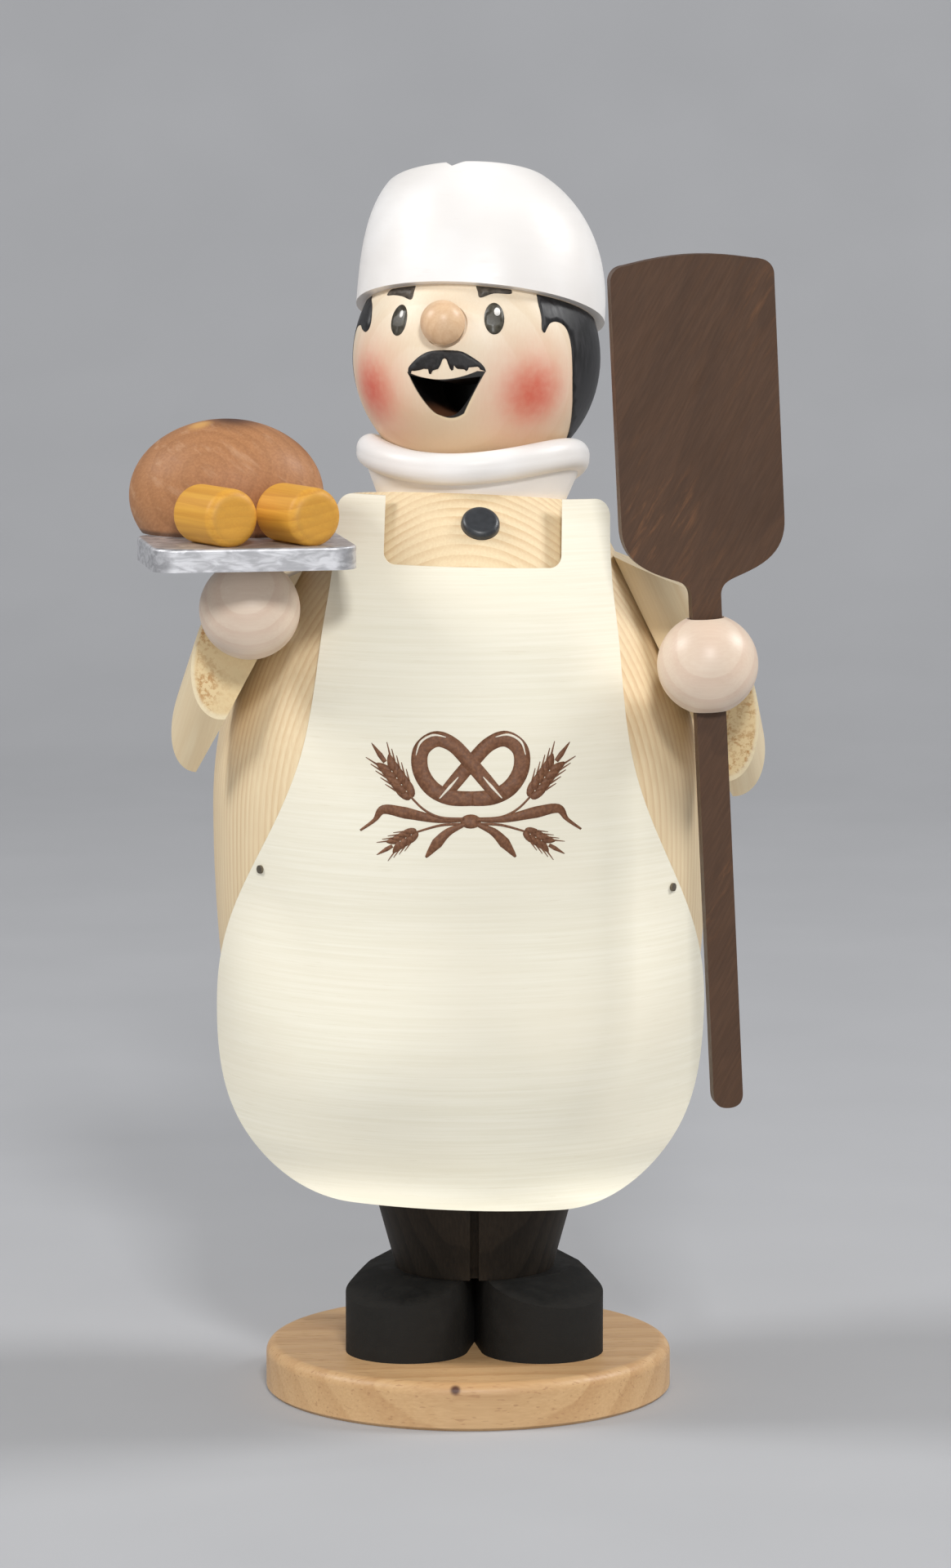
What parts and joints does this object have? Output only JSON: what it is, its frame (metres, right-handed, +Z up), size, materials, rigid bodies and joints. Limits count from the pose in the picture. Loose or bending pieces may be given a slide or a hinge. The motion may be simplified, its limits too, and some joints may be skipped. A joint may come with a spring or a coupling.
{
  "type": "incense smoker figure",
  "caption": "Turned wooden incense smoker: a hollow baker figure that lifts off its stand to take an incense cone and smokes through its open mouth.",
  "frame": {"origin": "centre of the round base's underside, on the surface that the figure stands on", "axes": "+Z up along the turned torso's axis; the figure faces -Y; +X to the viewer's right, on the side of the peel"},
  "size_m": [0.1012, 0.0887, 0.1971],
  "materials": {
    "base_wood": "pale hardwood, fine sanded, clear matt",
    "shoe_stain": "dark stain, satin",
    "leg_stain": "brown-grey stain, matt",
    "dowel_wood": "plain hardwood dowel",
    "tinplate": "pressed tinplate, dull",
    "nail_steel": "bright wire nail",
    "torso_wood": "pale softwood, turned, fine sanded, matt",
    "apron_veneer": "bleached cream veneer, matt",
    "button_paint": "dark slate paint, satin",
    "white_paint": "white paint, satin",
    "head_wood": "pale hardwood with painted face and hair, satin",
    "nose_wood": "pale hardwood, satin",
    "arm_wood": "pale hardwood, sanded, rough end grain at the cuff",
    "hand_wood": "pale hardwood, satin",
    "tray_metal": "plain flat metal, rounded corners",
    "loaf_stain": "brown stain, satin",
    "roll_stain": "golden stain, satin",
    "peel_stain": "dark brown stain, satin"
  },
  "bodies": {
    "stand": {"base_plate": "base_wood", "shoes": "shoe_stain", "legs": "leg_stain", "stand_dowels": "dowel_wood", "incense_dish": "tinplate", "dish_nail": "nail_steel"},
    "upper_body": {"torso": "torso_wood", "apron": "apron_veneer", "apron_nails": "nail_steel", "chest_button": "button_paint", "neck_sleeve": "dowel_wood", "collar": "white_paint", "head": "head_wood", "nose": "nose_wood", "hat": "white_paint", "hat_dowel": "dowel_wood", "right_upper_arm": "arm_wood", "right_forearm": "arm_wood", "right_hand": "hand_wood", "right_shoulder_dowel": "dowel_wood", "left_upper_arm": "arm_wood", "left_forearm": "arm_wood", "left_hand": "hand_wood", "left_shoulder_dowel": "dowel_wood", "tray": "tray_metal", "tray_pin": "nail_steel", "loaf": "loaf_stain", "roll_left": "roll_stain", "roll_right": "roll_stain", "peel": "peel_stain"}
  },
  "joints": [
    {"name": "upper_body_lift", "type": "slide", "parent": "stand", "child": "upper_body", "axis": [0, 0, 1], "range_m": [0, 0.06]}
  ]
}
